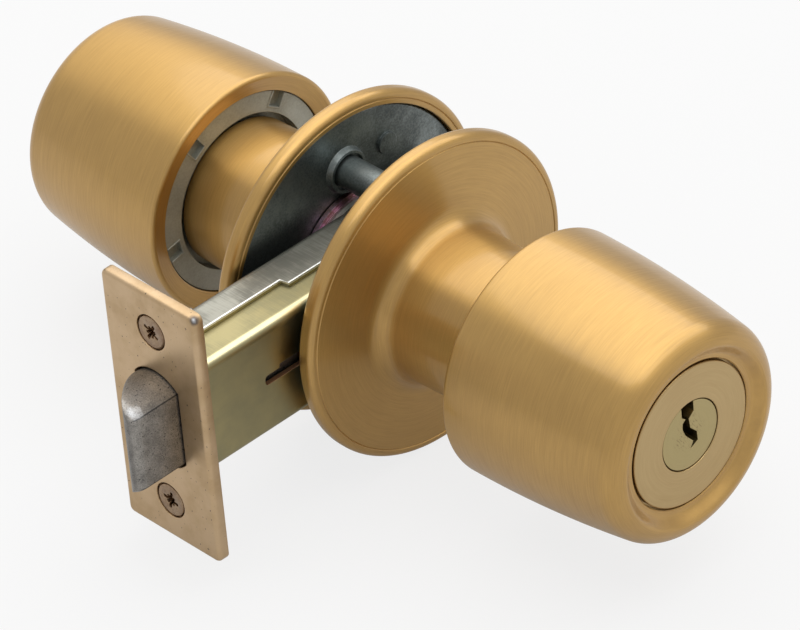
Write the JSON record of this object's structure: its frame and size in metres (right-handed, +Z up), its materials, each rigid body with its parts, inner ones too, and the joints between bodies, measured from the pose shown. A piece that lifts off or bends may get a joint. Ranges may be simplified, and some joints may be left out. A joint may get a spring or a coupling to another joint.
{
  "type": "keyed tubular knob lock",
  "caption": "Door knob lock set with round barrel knobs on domed roses, a key cylinder outside, a turn button inside and a tubular latch with a sprung bevelled bolt behind a face plate.",
  "frame": {"origin": "where the spindle's axis crosses the middle of the door and the latch's centre line", "axes": "+Y along the spindle from the keyed outside knob to the inside knob, -X along the latch towards the door's edge, +Z up"},
  "size_m": [0.1049, 0.1666, 0.067],
  "materials": {
    "satin_bronze": "circular brushed satin, lacquered",
    "plate_brass": "satin with light handling marks",
    "cylinder_brass": "turned satin",
    "cast_zinc": "die-cast, matt",
    "yellow_steel": "yellow passivated sheet",
    "grey_steel": "zinc plated",
    "sintered_steel": "sintered, satin",
    "spring_steel": "drawn wire and blued strip"
  },
  "bodies": {
    "door_fixed": {"outside_rose": "satin_bronze", "inside_rose": "satin_bronze", "outside_mount_plate": "cast_zinc", "inside_mount_plate": "cast_zinc", "fixing_screws": "yellow_steel", "case_near_half": "yellow_steel", "case_far_half": "grey_steel", "case_rivets": "grey_steel", "face_plate": "plate_brass", "face_plate_screws": "yellow_steel", "bolt_spring": "spring_steel"},
    "outside_knob": {"outside_knob_shell": "satin_bronze", "outside_knob_insert": "cast_zinc", "outside_knob_clip": "yellow_steel", "spindle": "grey_steel", "cylinder_body": "cylinder_brass", "driver_pins": "cylinder_brass", "pin_springs": "spring_steel"},
    "key_plug": {"cylinder_plug": "cylinder_brass", "key_pins": "cylinder_brass", "plug_clip": "spring_steel", "tailpiece": "grey_steel"},
    "inside_knob": {"inside_knob_shell": "satin_bronze", "inside_knob_insert": "cast_zinc", "inside_knob_clip": "yellow_steel", "inside_end_plate": "satin_bronze"},
    "privacy_button": {"turn_button": "satin_bronze", "button_clip": "spring_steel"},
    "hub": {"latch_hub": "sintered_steel"},
    "bolt": {"latch_bolt": "sintered_steel", "bolt_tail": "grey_steel", "tail_pins": "grey_steel"}
  },
  "joints": [
    {"name": "outside_knob_turn", "type": "hinge", "parent": "door_fixed", "child": "outside_knob", "pos_m": [0, 0, 0], "axis": [0, 1, 0], "range_deg": [0, 75], "stiffness_Nm_per_rad": 0.15, "springref_deg": -11.46},
    {"name": "inside_knob_turn", "type": "hinge", "parent": "door_fixed", "child": "inside_knob", "pos_m": [0, 0, 0], "axis": [0, 1, 0], "range_deg": [0, 75]},
    {"name": "hub_turn", "type": "hinge", "parent": "door_fixed", "child": "hub", "pos_m": [0, 0, 0], "axis": [0, 1, 0], "range_deg": [0, 75]},
    {"name": "bolt_slide", "type": "slide", "parent": "door_fixed", "child": "bolt", "axis": [1, 0, 0], "range_m": [0, 0.01145], "deforming": ["bolt_spring"]},
    {"name": "key_turn", "type": "hinge", "parent": "outside_knob", "child": "key_plug", "pos_m": [0, 0, 0], "axis": [0, 1, 0], "range_deg": [0, 90]},
    {"name": "button_turn", "type": "hinge", "parent": "inside_knob", "child": "privacy_button", "pos_m": [0, 0, 0], "axis": [0, 1, 0], "range_deg": [0, 90]}
  ],
  "couplings": [
    {"joint": "inside_knob_turn", "follows": "outside_knob_turn", "ratio": 1},
    {"joint": "hub_turn", "follows": "outside_knob_turn", "ratio": 1},
    {"joint": "bolt_slide", "follows": "outside_knob_turn", "m_per_rad": 0.0087431}
  ]
}
